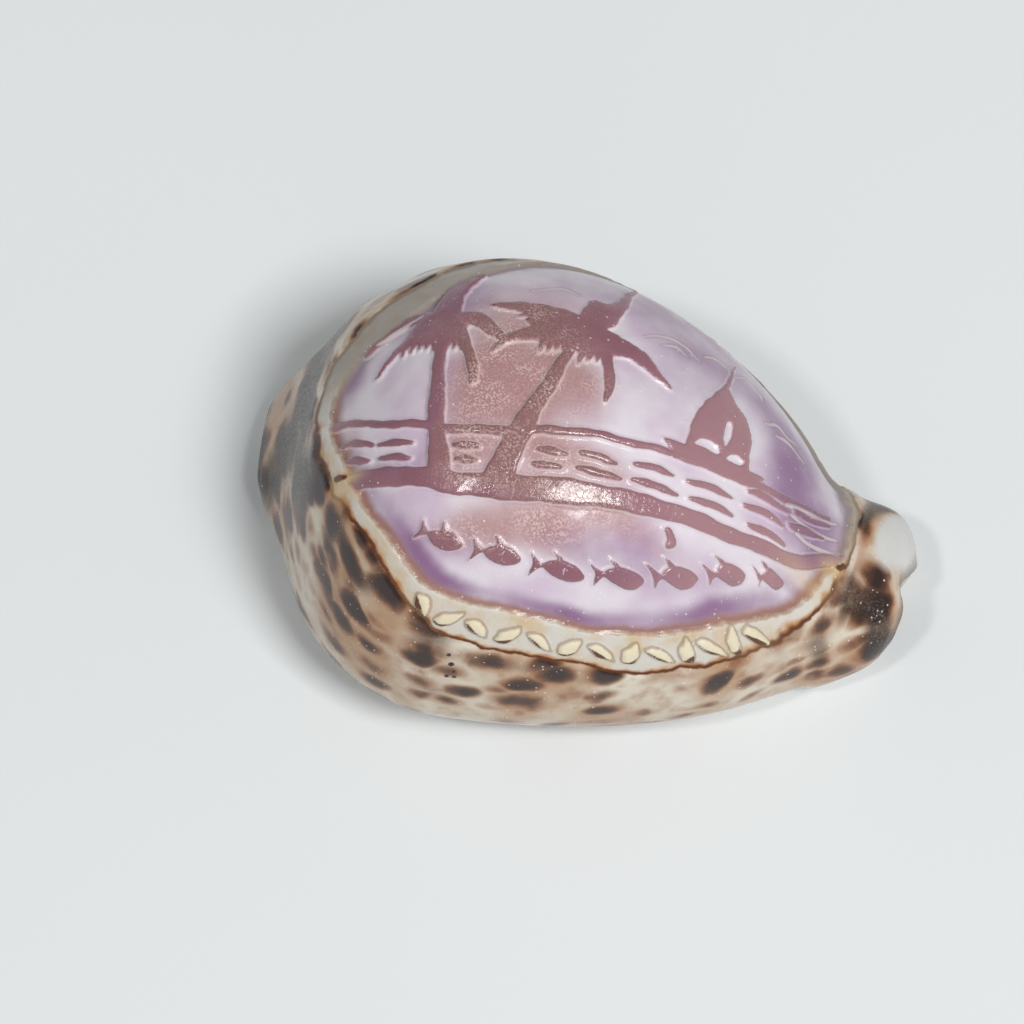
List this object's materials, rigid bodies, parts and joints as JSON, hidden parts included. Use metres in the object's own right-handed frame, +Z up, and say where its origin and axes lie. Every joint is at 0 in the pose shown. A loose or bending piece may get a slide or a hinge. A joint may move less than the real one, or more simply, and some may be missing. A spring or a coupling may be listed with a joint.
{
  "type": "carved tiger cowrie shell",
  "caption": "hollow egg-shaped sea shell with a toothed slit mouth below and a shallow carved seaside picture on its glossy spotted back",
  "frame": {"origin": "the centre of the bounding box's bottom face, on the surface the shell rests on", "axes": "+X to the narrow front (anterior) end, -Y to the outer lip, +Y to the inner lip, +Z up through the back"},
  "size_m": [0.0934, 0.0658, 0.0484],
  "materials": {
    "shell": "natural shell enamel, glossy and spotted, cut through on the back to matt white and lilac layers"
  },
  "bodies": {
    "root": {"cowrie_shell": "shell"}
  },
  "joints": []
}
